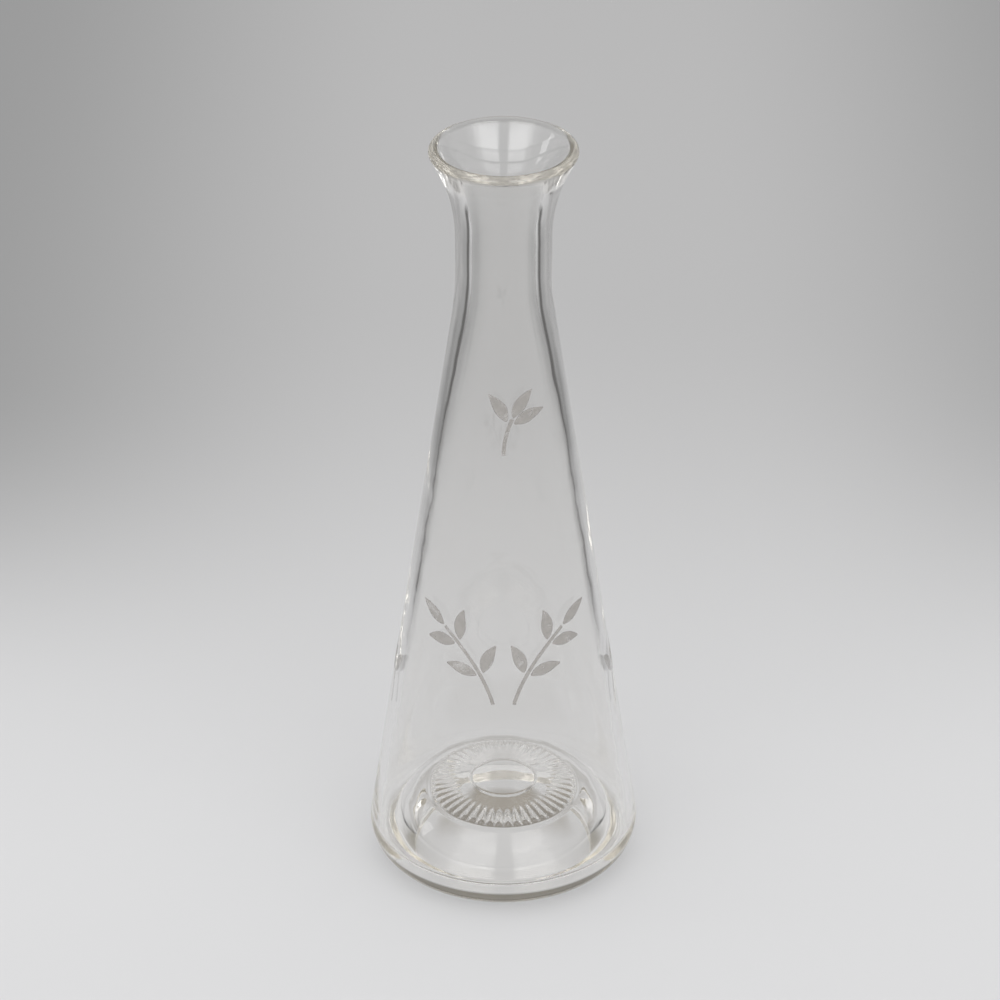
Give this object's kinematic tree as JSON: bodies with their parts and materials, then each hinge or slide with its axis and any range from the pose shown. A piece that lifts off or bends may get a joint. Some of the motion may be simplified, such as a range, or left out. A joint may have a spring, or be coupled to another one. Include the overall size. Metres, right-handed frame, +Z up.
{
  "type": "glass decanter",
  "caption": "Clear conical glass decanter with a short neck, flared round mouth, fluted push-up base and a worn leaf print in pale enamel.",
  "frame": {"origin": "centre of the flat ring that the decanter stands on", "axes": "+Z up along the axis of the vessel, -Y towards the printed front"},
  "size_m": [0.0928, 0.0928, 0.2685],
  "materials": {
    "clear_glass": "clear, fire polished",
    "enamel_print": "worn matt fired enamel"
  },
  "bodies": {
    "root": {"glass_vessel": "clear_glass", "side_sprig_left_end_leaf": "enamel_print", "side_sprig_left_inner_leaf_1": "enamel_print", "side_sprig_left_outer_leaf_1": "enamel_print", "side_sprig_left_stem": "enamel_print", "side_sprig_right_end_leaf": "enamel_print", "side_sprig_right_inner_leaf_1": "enamel_print", "side_sprig_right_outer_leaf_1": "enamel_print", "side_sprig_right_stem": "enamel_print", "spray_left_end_leaf": "enamel_print", "spray_left_inner_leaf_1": "enamel_print", "spray_left_inner_leaf_2": "enamel_print", "spray_left_outer_leaf_1": "enamel_print", "spray_left_outer_leaf_2": "enamel_print", "spray_left_stem": "enamel_print", "spray_right_end_leaf": "enamel_print", "spray_right_inner_leaf_1": "enamel_print", "spray_right_inner_leaf_2": "enamel_print", "spray_right_outer_leaf_1": "enamel_print", "spray_right_outer_leaf_2": "enamel_print", "spray_right_stem": "enamel_print", "upper_sprig_end_leaf": "enamel_print", "upper_sprig_inner_leaf_1": "enamel_print", "upper_sprig_outer_leaf_1": "enamel_print", "upper_sprig_stem": "enamel_print"}
  },
  "joints": []
}
